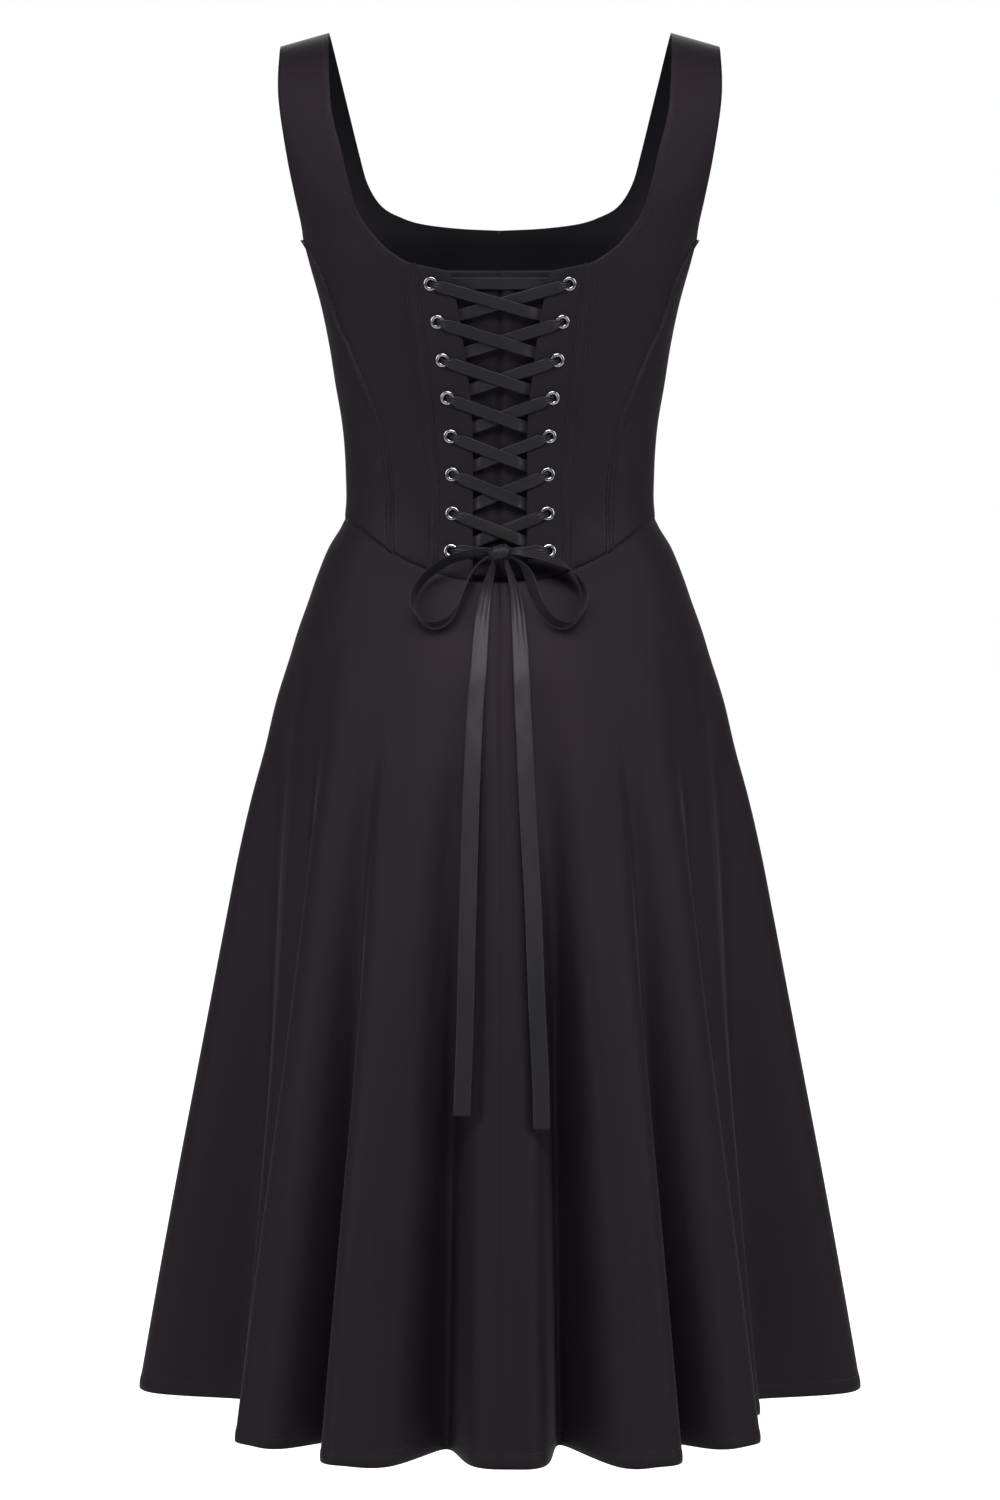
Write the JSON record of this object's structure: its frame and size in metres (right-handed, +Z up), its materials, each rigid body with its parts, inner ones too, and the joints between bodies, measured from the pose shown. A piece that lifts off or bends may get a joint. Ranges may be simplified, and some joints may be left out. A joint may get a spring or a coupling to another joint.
{
  "type": "corset dress",
  "caption": "Sleeveless dress with wide straps, a boned bodice that laces up the back to a ribbon bow, and a flared skirt in deep soft folds.",
  "frame": {"origin": "level with the tops of the shoulder straps, in the middle between them, where the wearer's shoulders hold the dress up", "axes": "+Z up, the laced back faces -Y, the front faces +Y, +X to the wearer's right"},
  "size_m": [0.588, 0.5798, 1.0921],
  "materials": {
    "satin_cloth": "black cotton sateen with a soft sheen",
    "satin_ribbon": "black satin ribbon",
    "eyelet_metal": "polished silver-coloured metal"
  },
  "bodies": {
    "root": {"back_panel_left": "satin_cloth", "back_panel_right": "satin_cloth", "bow_knot": "satin_ribbon", "bow_loop_left": "satin_ribbon", "bow_loop_right": "satin_ribbon", "bow_tail_left": "satin_ribbon", "bow_tail_right": "satin_ribbon", "casing_inner_left": "satin_cloth", "casing_inner_right": "satin_cloth", "casing_seam_left": "satin_cloth", "casing_seam_right": "satin_cloth", "eyelet_left_1": "eyelet_metal", "eyelet_left_2": "eyelet_metal", "eyelet_left_3": "eyelet_metal", "eyelet_left_4": "eyelet_metal", "eyelet_left_5": "eyelet_metal", "eyelet_left_6": "eyelet_metal", "eyelet_left_7": "eyelet_metal", "eyelet_left_8": "eyelet_metal", "eyelet_right_1": "eyelet_metal", "eyelet_right_2": "eyelet_metal", "eyelet_right_3": "eyelet_metal", "eyelet_right_4": "eyelet_metal", "eyelet_right_5": "eyelet_metal", "eyelet_right_6": "eyelet_metal", "eyelet_right_7": "eyelet_metal", "eyelet_right_8": "eyelet_metal", "front_panel": "satin_cloth", "lacing_flap_left": "satin_cloth", "lacing_flap_right": "satin_cloth", "lacing_ribbon": "satin_ribbon", "modesty_panel": "satin_cloth", "side_back_left": "satin_cloth", "side_back_right": "satin_cloth", "side_front_left": "satin_cloth", "side_front_right": "satin_cloth", "skirt_back_left": "satin_cloth", "skirt_back_right": "satin_cloth", "skirt_front": "satin_cloth"}
  },
  "joints": []
}
